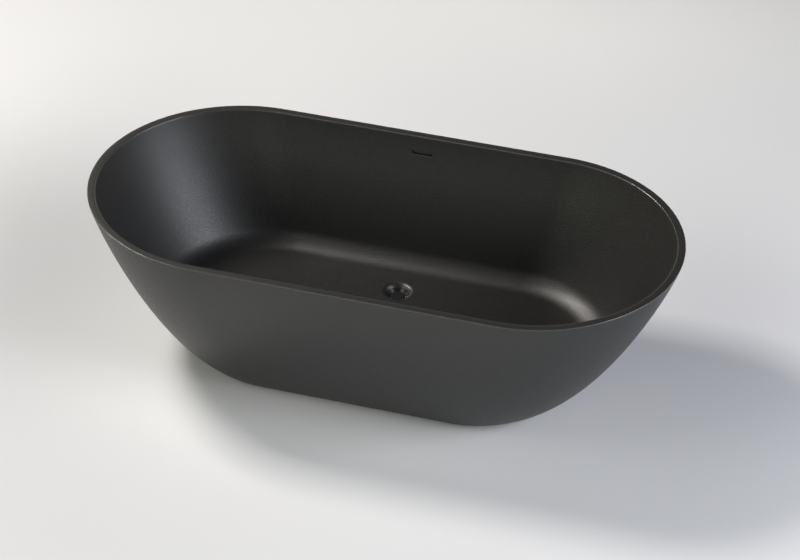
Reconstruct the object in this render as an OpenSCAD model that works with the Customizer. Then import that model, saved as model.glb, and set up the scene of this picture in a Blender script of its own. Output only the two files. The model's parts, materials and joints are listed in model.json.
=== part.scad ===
// Freestanding double-walled bathtub with slot overflow, click waste and levelling feet.
// Millimetres. X runs along the tub, Y across it towards the overflow, Z up from the floor.

/* [Tub body] */
// Length over the rim
tub_length = 1700; // [1500:10:1900]
// Width over the rim
tub_width = 850; // [750:10:950]
// Height of the rim above the floor
tub_height = 500; // [460:5:600]
// Length of the foot of the outer shell
base_length = 1008; // [900:4:1200]
// Width of the foot of the outer shell
base_width = 482; // [450:2:560]
// Width of the flat rim, which is the whole wall: two skins and the cavity
rim_width = 22; // [20:0.5:30]
// Depth of the rim's lip, down to its joint with the outer shell
rim_lip_depth = 10; // [8:0.5:16]
// Thickness of each skin
skin = 6; // [4:0.5:7]
// Height of the bathing floor above the room's floor
floor_height = 118; // [112:1:140]
// Radius that blends the bathing floor into the side walls
floor_blend = 42; // [25:1:60]
// Gap left under the outer shell, which the installer seals
skirt_gap = 3; // [2:0.5:8]
// Width of the turned-in foot of the outer shell
skirt_return = 30; // [20:1:45]
// Depth of the adhesive bead under the rim
bead_depth = 12; // [8:1:20]

/* [Waste] */
// Distance of the waste from the tub's centre line, towards the overflow
waste_offset = 160; // [130:5:180]
// Radius of the conical recess where it meets the bathing floor
recess_radius = 41; // [38:0.5:48]
// Radius of the seat that the waste flange drops into
seat_radius = 31; // [29:0.5:34]
// Depth of the waste flange's seat below the bathing floor
seat_depth = 24; // [23:0.5:28]
// Radius of the plug's flat top
plug_radius = 22; // [20:0.5:22.5]
// How far the plug rises when it clicks open
plug_travel = 9; // [6:0.5:10]
// Outer radius of the waste's threaded tail
tail_radius = 21; // [20.5:0.25:21.5]
// Bore radius of the waste's tail and of the outlet pipe
tail_bore = 17.5; // [15:0.25:18]
// Outer radius of the outlet pipe
outlet_radius = 20; // [19:0.25:20]
// Clear height under the outlet pipe
outlet_clearance = 4; // [3:1:10]

/* [Overflow] */
// Length of the overflow slot
slot_length = 61; // [45:1:80]
// Height of the overflow slot
slot_height = 9.5; // [7:0.5:10]
// Depth of the slot's centre line below the rim
slot_drop = 53; // [45:1:80]
// Width of the flat duct in the wall cavity
duct_width = 80; // [75:1:110]
// Wall of the flat duct
duct_wall = 1.5; // [1.2:0.1:2]
// Outer radius of the hose spigots
spigot_radius = 13; // [11:0.25:13.5]
// Bore radius of the hose spigots
spigot_bore = 10.5; // [8:0.25:10.5]
// Wall of the overflow hose
hose_wall = 2.4; // [2:0.1:3]

/* [Support] */
// Thickness of the baseboard under the bathing floor
board_thickness = 16; // [12:1:18]
// Length of the baseboard
board_length = 960; // [900:10:1040]
// Width of the baseboard
board_width = 450; // [430:5:470]
// Distance of each leg rail from the middle of the tub
rail_x = 330; // [280:5:340]
// Length of a leg rail
rail_length = 390; // [370:5:420]
// Height of a leg rail's top-hat section
rail_height = 30; // [28:1:32]
// Outer width of the rail's hat
rail_hat = 36; // [32:1:40]
// Width of each of the rail's screw lips
rail_lip = 18; // [14:1:20]
// Sheet thickness of the leg rails
rail_sheet = 2; // [1.5:0.25:2.5]
// Distance of each foot from the centre line
foot_y = 150; // [130:5:155]
// Radius of a foot's stud
stud_radius = 6; // [5:0.5:6]
// Thread pitch of a foot's stud
stud_pitch = 1.75; // [1.5:0.25:2]
// Radius of a foot's pad
pad_radius = 27; // [24:1:30]
// How far a foot winds out
foot_travel = 15; // [8:1:15]

/* [Hidden] */

// Fits shared by all pieces
running = 0.05;      // radial gap of a shaft or a screw in its hole
ball_gap = 0.15;     // gap round the ball of a foot
plug_gap = 0.35;     // gap between the plug or its seal and the flange's cone

// Body shape. At every height the outline is a stadium: two half circles joined by straight sides.
foot_half_width = base_width / 2;
rim_half_width = tub_width / 2;
foot_centre = (base_length - base_width) / 2;
rim_centre = (tub_length - tub_width) / 2;
side_fullness = [1.2, 0.66];
end_fullness = 0.58;
arc_steps = 36;

// Half the outline's width, which is also the radius of its ends, at height z
function half_width(z) =
    foot_half_width
    + (rim_half_width - foot_half_width)
        * pow(1 - pow(1 - min(z / tub_height, 1), side_fullness[0]), side_fullness[1]);

// Distance of each end's centre from the middle of the tub, at height z
function end_centre(z) =
    foot_centre + (rim_centre - foot_centre) * pow(min(z / tub_height, 1), end_fullness);

// How far the wall leans out per millimetre of height, at the sides and at the end centres
function side_lean(z) = half_width(z) - half_width(z - 1);
function centre_lean(z) = end_centre(z) - end_centre(z - 1);

// Horizontal distance from the outer face to a parallel face that lies the given depth inside it
function wall_inset(z, depth, angle) =
    depth * sqrt(1 + pow(side_lean(z) + centre_lean(z) * abs(cos(angle)), 2));

// One ring of points: the outline at height z, taken in by a wall depth and by a plain inset
function ring(z, depth = 0, inset = 0, place = undef) = [
    for (end = [0, 1], i = [0 : arc_steps])
        let (angle = -90 + 180 * (end + i / arc_steps),
             reach = half_width(z) - wall_inset(z, depth, angle) - inset)
        [(end == 0 ? 1 : -1) * end_centre(z) + reach * cos(angle),
         reach * sin(angle),
         is_undef(place) ? z : place]
];

// Inset of a quarter round that blends a wall into a floor, at a height above that floor
function blend_inset(height, radius) =
    height >= radius ? 0 : radius - sqrt(pow(radius, 2) - pow(radius - height, 2));

// Heights from low to high, closer together near the low end
function heights(low, high, steps) = [for (i = [0 : steps]) low + (high - low) * pow(i / steps, 1.5)];
function reversed(list) = [for (i = [len(list) - 1 : -1 : 0]) list[i]];

// Skin of quads over a stack of rings. A closed stack joins its last ring to its first,
// and an open one is capped with a flat face at each end.
module ring_solid(rings, closed) {
    count = len(rings[0]);
    total = len(rings);
    sides = [
        for (k = [0 : total - (closed ? 1 : 2)], i = [0 : count - 1])
            let (here = k * count, next = ((k + 1) % total) * count, j = (i + 1) % count)
            [here + i, here + j, next + j, next + i]
    ];
    caps = closed ? [] : [
        [for (i = [count - 1 : -1 : 0]) i],
        [for (i = [0 : count - 1]) (total - 1) * count + i]
    ];
    polyhedron(points = [for (r = rings) each r], faces = concat(sides, caps), convexity = 6);
}

// Flat stadium outline
module stadium(length, width) {
    for (side = [-1, 1])
        translate([side * (length - width) / 2, 0]) circle(d = width, $fn = 64);
    square([length - width, width], center = true);
}

module hex(across_flats, height, bore) {
    difference() {
        cylinder(d = across_flats / cos(30), h = height, $fn = 6);
        translate([0, 0, -1]) cylinder(r = bore, h = height + 2, $fn = 48);
    }
}

// Flat ring, washer or band
module band(outer, bore, height) {
    difference() {
        cylinder(r = outer, h = height, $fn = 64);
        translate([0, 0, -1]) cylinder(r = bore, h = height + 2, $fn = 64);
    }
}

// Plain ridges like a screw thread, as the outline of a turned part: radius against height
function ridges(radius, pitch, depth, low, high) =
    let (turns = floor((high - low) / pitch))
    [for (i = [0 : turns - 1]) each [
        [radius, low + i * pitch],
        [radius, low + (i + 0.25) * pitch],
        [radius - depth, low + (i + 0.6) * pitch],
        [radius, low + (i + 1) * pitch - 0.01]
    ]];

// --- Body shells -------------------------------------------------------------------------

joint_z = tub_height - rim_lip_depth;
bond_z = joint_z - bead_depth;
floor_under = floor_height - skin;
back_depth = rim_width - skin;
under_blend = floor_blend + skin;
seat_z = floor_height - seat_depth;
cup_under = seat_z - skin;
slot_z = tub_height - slot_drop;
cone_step = recess_radius - seat_radius;

// Conical recess of the waste, with a seat for the flange. The outside keeps the skin's thickness.
module recess_cup() {
    translate([0, waste_offset, 0]) rotate_extrude($fn = 96) polygon([
        [tail_radius + 0.6, cup_under],
        [seat_radius + skin, cup_under],
        [seat_radius + skin, floor_height - cone_step - skin],
        [recess_radius + skin, floor_under],
        [recess_radius + skin, floor_under + skin / 2],
        [tail_radius + 0.6, floor_under + skin / 2]
    ]);
}

module recess_cut() {
    translate([0, waste_offset, 0]) rotate_extrude($fn = 96) polygon([
        [0, cup_under - 1],
        [tail_radius + 0.6, cup_under - 1],
        [tail_radius + 0.6, seat_z],
        [seat_radius, seat_z],
        [seat_radius, floor_height - cone_step],
        [recess_radius, floor_height],
        [recess_radius, floor_height + 1],
        [0, floor_height + 1]
    ]);
}

// Round-ended slot through the back wall
module slot_cut(extra = 0) {
    translate([0, rim_half_width, slot_z]) rotate([90, 0, 0])
        linear_extrude(height = 80) stadium(slot_length + 2 * extra, slot_height + 2 * extra);
}

module basin_shell() {
    inside = [for (z = heights(floor_height, tub_height, 20))
        ring(z, rim_width, blend_inset(z - floor_height, floor_blend))];
    back = [for (z = concat(heights(floor_under, gasket_low, 15), gasket_high, bond_z, joint_z))
        ring(z, back_depth, blend_inset(z - floor_under, under_blend))];
    lip = [ring(tub_height), ring(joint_z)];
    color([0.13, 0.13, 0.13]) difference() {
        union() {
            ring_solid(concat(inside, lip, reversed(back)), false);
            recess_cup();
        }
        recess_cut();
        slot_cut();
    }
}

module outer_shell() {
    outside = [for (z = heights(skirt_gap, joint_z, 20)) ring(z)];
    inside = [for (z = concat(heights(skirt_gap + skin, bond_z, 18), joint_z)) ring(z, skin)];
    foot = [ring(skirt_gap, 0, skirt_return, skirt_gap + skin), ring(skirt_gap, 0, skirt_return)];
    color([0.13, 0.13, 0.13]) ring_solid(concat(outside, reversed(inside), foot), true);
}

module rim_bond() {
    color([0.2, 0.2, 0.2]) ring_solid([
        ring(bond_z, skin), ring(joint_z, skin), ring(joint_z, back_depth), ring(bond_z, back_depth)
    ], true);
}

// --- Support under the floor ---------------------------------------------------------------

board_z = floor_under - board_thickness;
rail_z = board_z - rail_height;
cutout_radius = recess_radius + skin + 12;
screw_radius = 2.4;
screw_spread = rail_hat / 2 + rail_lip / 2;
screw_rows = [-0.42, -0.16, 0.16, 0.42];
bracket_x = 200;
bracket_width = 30;
bracket_sheet = 2;
bracket_lip = 34;
side_web = half_width(skirt_gap) - skirt_return + 4;
end_web = side_web + end_centre(skirt_gap);
nut_height = 10;
nut_flats = 18;

module at_rail_screws() {
    for (rail = [-1, 1], side = [-1, 1], row = screw_rows)
        translate([rail * rail_x + side * screw_spread, row * rail_length, 0]) children();
}

module at_feet() {
    for (end = [-1, 1], side = [-1, 1]) translate([end * rail_x, side * foot_y, 0]) children();
}

// Puts the web of each skirt bracket on its place, with X pointing out of the tub
module at_brackets() {
    for (x = [-bracket_x, 0, bracket_x]) rotate(-90) translate([side_web, x, 0]) children();
    for (x = [-bracket_x, bracket_x]) rotate(90) translate([side_web, x, 0]) children();
    for (turn = [0, 180]) rotate(turn) translate([end_web, 0, 0]) children();
}

module pilot_hole() {
    translate([0, 0, board_z - 1])
        cylinder(r = screw_radius + running, h = board_thickness - 1, $fn = 24);
}

// Cross-head screw, driven up into the baseboard through a sheet of the given thickness
module board_screw(sheet) {
    tip = sheet + board_thickness - 3;
    translate([0, 0, board_z - sheet]) difference() {
        rotate_extrude($fn = 32) polygon(concat(
            [[0, -2.6], [3, -2.6], [4.6, -1.2], [4.6, 0], [screw_radius, 0]],
            ridges(screw_radius, 1.6, 0.45, sheet + 0.4, tip - 3),
            [[0.4, tip], [0, tip]]
        ));
        translate([0, 0, -3]) {
            cube([4.4, 0.9, 2.6], center = true);
            cube([0.9, 4.4, 2.6], center = true);
        }
    }
}

module baseboard() {
    color([0.72, 0.58, 0.4]) difference() {
        translate([0, 0, board_z]) linear_extrude(height = board_thickness)
            stadium(board_length, board_width);
        translate([0, waste_offset, board_z - 1]) {
            cylinder(r = cutout_radius, h = board_thickness + 2, $fn = 96);
            translate([-cutout_radius, 0, 0])
                cube([2 * cutout_radius, board_width, board_thickness + 2]);
        }
        at_rail_screws() pilot_hole();
        at_brackets() translate([-bracket_lip / 2, 0, 0]) pilot_hole();
    }
}

// Top-hat channel, open at the top, with a lip along each side for the screws
module leg_rail(side) {
    color([0.62, 0.64, 0.66]) difference() {
        translate([side * rail_x, rail_length / 2, 0]) rotate([90, 0, 0])
            linear_extrude(height = rail_length) polygon([
                [-rail_hat / 2 - rail_lip, board_z],
                [-rail_hat / 2 - rail_lip, board_z - rail_sheet],
                [-rail_hat / 2, board_z - rail_sheet],
                [-rail_hat / 2, rail_z],
                [rail_hat / 2, rail_z],
                [rail_hat / 2, board_z - rail_sheet],
                [rail_hat / 2 + rail_lip, board_z - rail_sheet],
                [rail_hat / 2 + rail_lip, board_z],
                [rail_hat / 2 - rail_sheet, board_z],
                [rail_hat / 2 - rail_sheet, rail_z + rail_sheet],
                [-rail_hat / 2 + rail_sheet, rail_z + rail_sheet],
                [-rail_hat / 2 + rail_sheet, board_z]
            ]);
        at_rail_screws() translate([0, 0, rail_z])
            cylinder(r = screw_radius + running, h = rail_height + 1, $fn = 24);
        at_feet() translate([0, 0, rail_z - 1])
            cylinder(r = stud_radius + 0.5, h = rail_sheet + 2, $fn = 48);
    }
}

module rail_screws() {
    color([0.7, 0.7, 0.7]) at_rail_screws() board_screw(rail_sheet);
}

// Bent strips that hold the foot of the outer shell to the baseboard
module skirt_brackets() {
    foot_z = skirt_gap + skin;
    color([0.62, 0.64, 0.66]) at_brackets() difference() {
        translate([0, bracket_width / 2, 0]) rotate([90, 0, 0])
            linear_extrude(height = bracket_width) polygon([
                [-bracket_lip, board_z],
                [-bracket_lip, board_z - bracket_sheet],
                [-bracket_sheet, board_z - bracket_sheet],
                [-bracket_sheet, foot_z],
                [skirt_return / 2, foot_z],
                [skirt_return / 2, foot_z + bracket_sheet],
                [0, foot_z + bracket_sheet],
                [0, board_z]
            ]);
        translate([-bracket_lip / 2, 0, board_z - bracket_sheet - 1])
            cylinder(r = screw_radius + running, h = bracket_sheet + 2, $fn = 24);
    }
}

module bracket_screws() {
    color([0.7, 0.7, 0.7]) at_brackets() translate([-bracket_lip / 2, 0, 0])
        board_screw(bracket_sheet);
}

module rail_nuts() {
    color([0.7, 0.7, 0.7]) at_feet() translate([0, 0, rail_z + rail_sheet])
        hex(nut_flats, nut_height, stud_radius + running);
}

module lock_nuts() {
    color([0.7, 0.7, 0.7]) at_feet() translate([0, 0, rail_z - nut_height])
        hex(nut_flats, nut_height, stud_radius + running);
}

// --- Levelling feet ------------------------------------------------------------------------

ball_radius = 8;
ball_z = 14;
collar_z = 24;
collar_height = 8;
stud_spare = 2;      // thread left above the rail's nut with the foot wound out
stud_top = min(board_z - 1, rail_z + rail_sheet + nut_height + foot_travel + stud_spare);
socket_neck = 6.6;
pad_height = 20.5;

module foot_stud(end, side) {
    shank = collar_z + collar_height;
    color([0.72, 0.72, 0.72]) translate([end * rail_x, side * foot_y, 0]) union() {
        rotate_extrude($fn = 48) polygon(concat(
            [[0, shank - 0.5], [stud_radius - 1, shank - 0.5], [stud_radius - 1, shank + 1]],
            ridges(stud_radius, stud_pitch, 0.9, shank + 1.2, stud_top - 1),
            [[stud_radius - 1, stud_top], [0, stud_top]]
        ));
        translate([0, 0, collar_z]) cylinder(d = 16 / cos(30), h = collar_height, $fn = 6);
        translate([0, 0, ball_z]) cylinder(r = 5, h = collar_z - ball_z + 0.5, $fn = 48);
        translate([0, 0, ball_z]) sphere(r = ball_radius, $fn = 64);
    }
}

module foot_pad(end, side) {
    color([0.1, 0.1, 0.1]) translate([end * rail_x, side * foot_y, 0]) difference() {
        rotate_extrude($fn = 64) polygon([
            [0, 0], [pad_radius - 1, 0], [pad_radius, 1], [pad_radius, 4.5],
            [pad_radius - 2, 6.5], [13.5, 11], [11.5, 13], [11.5, pad_height], [0, pad_height]
        ]);
        translate([0, 0, ball_z]) sphere(r = ball_radius + ball_gap, $fn = 64);
        translate([0, 0, ball_z]) cylinder(r = socket_neck, h = 20, $fn = 48);
    }
}

// --- Waste ---------------------------------------------------------------------------------

washer = 1.5;
flange_under = seat_z + washer;
flange_radius = seat_radius - 0.4;
cone_z = floor_height - recess_radius;     // height at which the recess's cone would reach its axis
lower_washer = 2;
banjo_top = cup_under - lower_washer;
banjo_height = 20;
banjo_z = banjo_top - banjo_height;
nut_top = banjo_z - lower_washer;
back_nut_height = 9;
nut_bottom = nut_top - back_nut_height;
tail_end = nut_bottom - 13;
spider_z = seat_z - 10;
spider_height = 6;
cartridge_radius = 6;
banjo_axis = banjo_z + banjo_height / 2;

module at_waste() {
    translate([0, waste_offset, 0]) children();
}

// Dished flange that carries the recess's cone on down to the valve seat, with its threaded tail
module waste_flange() {
    seat_low = tail_bore + 0.5;
    color([0.1, 0.1, 0.1]) at_waste() union() {
        difference() {
            rotate_extrude($fn = 96) polygon(concat(
                [[tail_bore, tail_end],
                 [tail_radius - 1.3, tail_end],
                 [tail_radius - 1.3, tail_end + 1]],
                ridges(tail_radius, 2.3, 0.9, tail_end + 1.2, banjo_z),
                [[tail_radius, banjo_z + 0.5],
                 [tail_radius, flange_under],
                 [flange_radius, flange_under],
                 [flange_radius, cone_z + flange_radius - 0.4],
                 [flange_radius - 0.4, cone_z + flange_radius - 0.4],
                 [seat_low, cone_z + seat_low],
                 [tail_bore, cone_z + seat_low - 0.8]]
            ));
            for (turn = [0 : 90 : 270]) rotate(turn)
                translate([tail_bore - 2, -6, banjo_axis - 5]) cube([tail_radius, 12, 10]);
        }
        difference() {
            translate([0, 0, spider_z]) union() {
                cylinder(r = cartridge_radius + 3, h = spider_height, $fn = 48);
                for (turn = [30 : 120 : 270]) rotate(turn)
                    translate([cartridge_radius + 1.5, -1.5, 0.5])
                        cube([tail_bore - cartridge_radius, 3, spider_height - 1]);
            }
            translate([0, 0, spider_z - 1])
                cylinder(r = cartridge_radius + running, h = spider_height + 2, $fn = 48);
        }
    }
}

module flange_washer() {
    color([0.15, 0.15, 0.15]) at_waste() translate([0, 0, seat_z])
        band(seat_radius - 1, tail_radius + 0.2, washer);
}

module waste_washer() {
    color([0.15, 0.15, 0.15]) at_waste() translate([0, 0, banjo_top])
        band(seat_radius + 1, tail_radius + 0.2, lower_washer);
}

// Ring chamber round the tail, with the spigot that takes the overflow hose
module overflow_banjo() {
    ring_radius = seat_radius + 1;
    reach = ring_radius + 30;
    color([0.12, 0.12, 0.12]) at_waste() difference() {
        union() {
            translate([0, 0, banjo_z]) cylinder(r = ring_radius, h = banjo_height, $fn = 96);
            translate([0, ring_radius - 6, banjo_axis]) rotate([-90, 0, 0])
                cylinder(r = 9.5, h = reach - ring_radius + 6, $fn = 48);
            translate([0, reach - 24, banjo_axis]) rotate([-90, 0, 0])
                cylinder(r = spigot_radius, h = 24, $fn = 48);
        }
        translate([0, 0, banjo_z - 1])
            cylinder(r = tail_radius + 0.2, h = banjo_height + 2, $fn = 96);
        translate([0, 0, banjo_z + 3])
            cylinder(r = ring_radius - 3, h = banjo_height - 6, $fn = 96);
        translate([0, ring_radius - 8, banjo_axis]) rotate([-90, 0, 0])
            cylinder(r = 6.5, h = reach, $fn = 48);
        translate([0, reach - 22, banjo_axis]) rotate([-90, 0, 0])
            cylinder(r = spigot_bore, h = 24, $fn = 48);
    }
}

module banjo_washer() {
    color([0.15, 0.15, 0.15]) at_waste() translate([0, 0, nut_top])
        band(tail_radius + 8, tail_radius + 0.2, lower_washer);
}

// Large nut with lugs for a waste spanner
module back_nut() {
    color([0.5, 0.5, 0.5]) at_waste() translate([0, 0, nut_bottom]) difference() {
        union() {
            cylinder(r = tail_radius + 6, h = back_nut_height, $fn = 96);
            for (turn = [0 : 60 : 300]) rotate(turn)
                translate([tail_radius + 4, -4, 0]) cube([7, 8, back_nut_height]);
        }
        translate([0, 0, -1])
            cylinder(r = tail_radius + running, h = back_nut_height + 2, $fn = 96);
    }
}

outlet_washer_z = tail_end - lower_washer;
collar_low = outlet_washer_z - 2.5;
union_low = collar_low - 3.5;
union_height = 15;
spigot_end = union_low - 1;   // the pipe is a little thinner from here up, inside the nut

// Union nut that pulls the outlet pipe's collar up against the tail
module union_nut() {
    color([0.12, 0.12, 0.12]) at_waste() difference() {
        translate([0, 0, union_low]) union() {
            cylinder(r = tail_radius + 4.5, h = union_height, $fn = 96);
            for (turn = [0 : 30 : 330]) rotate(turn)
                translate([tail_radius + 3, -2, 0]) cube([3.2, 4, union_height]);
        }
        translate([0, 0, union_low - 1])
            cylinder(r = outlet_radius + 0.3, h = union_height, $fn = 96);
        translate([0, 0, collar_low])
            cylinder(r = tail_radius + running, h = union_height, $fn = 96);
    }
}

module outlet_washer() {
    color([0.15, 0.15, 0.15]) at_waste() translate([0, 0, outlet_washer_z])
        band(tail_radius - 0.2, tail_bore, lower_washer);
}

module outlet_pipe() {
    color([0.12, 0.12, 0.12]) at_waste() difference() {
        union() {
            translate([0, 0, outlet_clearance])
                cylinder(r = outlet_radius, h = spigot_end - outlet_clearance, $fn = 96);
            translate([0, 0, spigot_end - 1])
                cylinder(r = outlet_radius - 0.4, h = outlet_washer_z - spigot_end + 1, $fn = 96);
            translate([0, 0, collar_low])
                cylinder(r = tail_radius - 0.1, h = outlet_washer_z - collar_low, $fn = 96);
        }
        translate([0, 0, outlet_clearance - 1])
            cylinder(r = tail_bore, h = outlet_washer_z, $fn = 96);
    }
}

// --- Click plug ----------------------------------------------------------------------------

plug_edge = 0.6;
plug_top = cone_z + plug_radius + plug_edge + plug_gap * sqrt(2);
plug_taper = 3;
plug_base = plug_top - plug_taper;
stem_radius = 2.8;
cartridge_low = seat_z - 34;
cartridge_top = seat_z - 2;
cartridge_roof = 2;
stem_collar = 3;
collar_spare = 2;    // room left above the stem's collar with the plug up
stem_collar_z = cartridge_top - cartridge_roof - plug_travel - collar_spare - stem_collar;
stem_low = stem_collar_z - 6;
cartridge_bore = 5.2;
cartridge_floor = cartridge_low + 2;
seal_wire = 1.3;
seal_z = plug_base - seal_wire - running;
seal_centre = seal_z - cone_z - (seal_wire + plug_gap) * sqrt(2);
groove_radius = seal_centre - seal_wire - running;
groove_low = seal_z - seal_wire - running;

// Tapered cap that lies in the cone, with a groove below it for the seal
module plug_cap() {
    color([0.1, 0.1, 0.1]) at_waste() rotate_extrude($fn = 96) polygon([
        [stem_radius + running, plug_top - 2.2],
        [0, plug_top - 2.2],
        [0, plug_top],
        [plug_radius - plug_edge, plug_top],
        [plug_radius, plug_top - plug_edge],
        [plug_radius - plug_taper + plug_edge, plug_base],
        [groove_radius, plug_base],
        [groove_radius, groove_low],
        [groove_radius + 0.8, groove_low],
        [groove_radius - 0.4, groove_low - 1.5],
        [stem_radius + 2, groove_low - 1.5],
        [stem_radius + 2, plug_base - 3],
        [stem_radius + running, plug_base - 3]
    ]);
}

module plug_seal() {
    color([0.05, 0.05, 0.05]) at_waste() translate([0, 0, seal_z]) rotate_extrude($fn = 96)
        translate([seal_centre, 0]) circle(r = seal_wire, $fn = 32);
}

module plug_stem() {
    color([0.75, 0.6, 0.3]) at_waste() rotate_extrude($fn = 48) polygon([
        [0, stem_low], [stem_radius - 0.5, stem_low], [stem_radius, stem_low + 0.5],
        [stem_radius, stem_collar_z], [cartridge_bore - 0.3, stem_collar_z],
        [cartridge_bore - 0.3, stem_collar_z + stem_collar], [stem_radius, stem_collar_z + stem_collar],
        [stem_radius, plug_top - 2.3], [0, plug_top - 2.3]
    ]);
}

// Closed barrel that guides the stem and holds its spring
module click_cartridge() {
    color([0.85, 0.85, 0.8]) at_waste() rotate_extrude($fn = 48) polygon([
        [0, cartridge_low], [cartridge_radius, cartridge_low],
        [cartridge_radius, spider_z + spider_height],
        [cartridge_radius + 2, spider_z + spider_height],
        [cartridge_radius + 2, cartridge_top], [stem_radius + running, cartridge_top],
        [stem_radius + running, cartridge_top - cartridge_roof],
        [cartridge_bore, cartridge_top - cartridge_roof],
        [cartridge_bore, cartridge_floor], [0, cartridge_floor]
    ]);
}

spring_turns = 5;
spring_steps = 14;
spring_wire = 0.5;
spring_radius = 4.1;

// One point on the spring's wire: a place along the coil and an angle round the wire
function wire_point(along, around) =
    let (turn = 360 * along * spring_turns,
         low = cartridge_floor + spring_wire + 0.05,
         high = stem_collar_z - spring_wire - 0.05,
         reach = spring_radius + spring_wire * cos(around))
    [reach * cos(turn), reach * sin(turn), low + (high - low) * along + spring_wire * sin(around)];

module plug_spring() {
    stations = spring_turns * spring_steps;
    color([0.75, 0.75, 0.78]) at_waste() ring_solid([
        for (k = [0 : stations]) [for (a = [0 : 60 : 300]) wire_point(k / stations, a)]
    ], false);
}

// --- Overflow ------------------------------------------------------------------------------

gasket = 1;
cavity_gap = 2;
duct_depth = back_depth - skin - gasket - cavity_gap;
duct_high = slot_z + 22;
gasket_margin = 12;
gasket_low = slot_z - slot_height / 2 - gasket_margin;
gasket_high = slot_z + slot_height / 2 + gasket_margin;
duct_spigot_length = 30;
hose_bore = spigot_radius + 0.6;
hose_rise = 16;          // most that the hose climbs from the banjo to the duct
banjo_tip = waste_offset + seat_radius + 31;

// Distance across the tub of a face that lies the given depth inside the outer face, at height z
function side_face(z, depth) = half_width(z) - depth * sqrt(1 + pow(side_lean(z), 2));

// Upright strip in the wall cavity between two depths, as an outline of Y against Z
function strip(levels, near, far) = concat(
    [for (z = levels) [side_face(z, near), z]],
    [for (z = reversed(levels)) [side_face(z, far), z]]
);

module across(width) {
    translate([-width / 2, 0, 0]) rotate([90, 0, 90]) linear_extrude(height = width) children();
}

duct_near = skin + cavity_gap;
duct_far = duct_near + duct_depth;
spigot_gap = side_face(banjo_axis + hose_rise, duct_far) - duct_spigot_length - banjo_tip;
duct_spigot_z = banjo_axis + min(hose_rise, 0.41 * spigot_gap);
duct_low = duct_spigot_z - spigot_radius - 1;
spigot_tip = side_face(duct_spigot_z, duct_far) - duct_spigot_length;

// Rod along Y from beyond the wall to the tip of the duct's spigot. It ends at a face at the
// given depth in the wall, with its corners on the levels.
module spigot_rod(radius, tip, levels, depth) {
    intersection() {
        translate([0, rim_half_width, duct_spigot_z]) rotate([90, 0, 0])
            cylinder(r = radius, h = rim_half_width - tip, $fn = 48);
        across(duct_width) polygon(concat(
            [for (z = levels) [side_face(z, depth), z]], [[0, duct_high], [0, duct_low]]
        ));
    }
}

// Flat duct that follows the wall down from the slot and ends in a round spigot
module overflow_duct() {
    outer = concat(heights(duct_low, gasket_low, 16), gasket_high, duct_high);
    inner = concat(heights(duct_low + duct_wall, gasket_low, 16), gasket_high, duct_high - duct_wall);
    color([0.15, 0.15, 0.15]) difference() {
        union() {
            across(duct_width) polygon(strip(outer, duct_near, duct_far));
            spigot_rod(spigot_radius, spigot_tip, outer, duct_near + duct_wall / 2);
        }
        across(duct_width - 2 * duct_wall)
            polygon(strip(inner, duct_near + duct_wall, duct_far - duct_wall));
        spigot_rod(spigot_bore, spigot_tip - 1, outer, duct_far - 1.5 * duct_wall);
        intersection() {
            slot_cut(1);
            across(duct_width)
                polygon(strip([gasket_low, gasket_high], duct_far - 2 * duct_wall, duct_far + 1));
        }
    }
}

// Flat gasket round the slot, between the basin and the duct
module overflow_gasket() {
    color([0.05, 0.05, 0.05]) difference() {
        across(slot_length + gasket_margin)
            polygon(strip([gasket_low, gasket_high], duct_far, duct_far + gasket));
        slot_cut(1);
    }
}

hose_start = [0, banjo_tip - 20, banjo_axis];
hose_finish = [0, spigot_tip + 20, duct_spigot_z];
hose_straight = 21;      // length of each straight end, which lies over a spigot
hose_length = hose_finish[1] - hose_start[1];
hose_rings = 22;
hose_sides = 20;

// Middle of the hose: straight over each spigot and an even S between them
function hose_height(along) =
    let (t = min(max((along * hose_length - hose_straight) / (hose_length - 2 * hose_straight), 0), 1))
    t * t * (3 - 2 * t);

function hose_point(along, radius, around) =
    let (middle = [0,
                   hose_start[1] + (hose_finish[1] - hose_start[1]) * along,
                   hose_start[2] + (hose_finish[2] - hose_start[2]) * hose_height(along)],
         ahead = hose_height(along + 0.01) - hose_height(along - 0.01),
         lean = atan2((hose_finish[2] - hose_start[2]) * ahead, (hose_finish[1] - hose_start[1]) * 0.02))
    middle + radius * [cos(around), -sin(around) * sin(lean), sin(around) * cos(lean)];

module overflow_hose() {
    outer = hose_bore + hose_wall;
    angles = [for (i = [0 : hose_sides - 1]) 360 * i / hose_sides];
    outside = [for (k = [0 : hose_rings]) [for (a = angles) hose_point(k / hose_rings, outer, a)]];
    inside = [for (k = [hose_rings : -1 : 0]) [for (a = angles) hose_point(k / hose_rings, hose_bore, a)]];
    color([0.2, 0.2, 0.22]) ring_solid(concat(outside, inside), true);
}

// Band clip with its screw housing
module hose_clip(place) {
    inner = hose_bore + hose_wall + 0.1;
    color([0.75, 0.75, 0.77]) translate(place) rotate([-90, 0, 0]) difference() {
        union() {
            translate([0, 0, -4]) cylinder(r = inner + 0.9, h = 8, $fn = 64);
            translate([inner + 3, 0, 0]) rotate([90, 0, 0]) cylinder(r = 3.2, h = 14, center = true, $fn = 32);
            translate([inner, -4, -4]) cube([3, 8, 8]);
        }
        translate([0, 0, -5]) cylinder(r = inner, h = 10, $fn = 64);
    }
}

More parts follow.
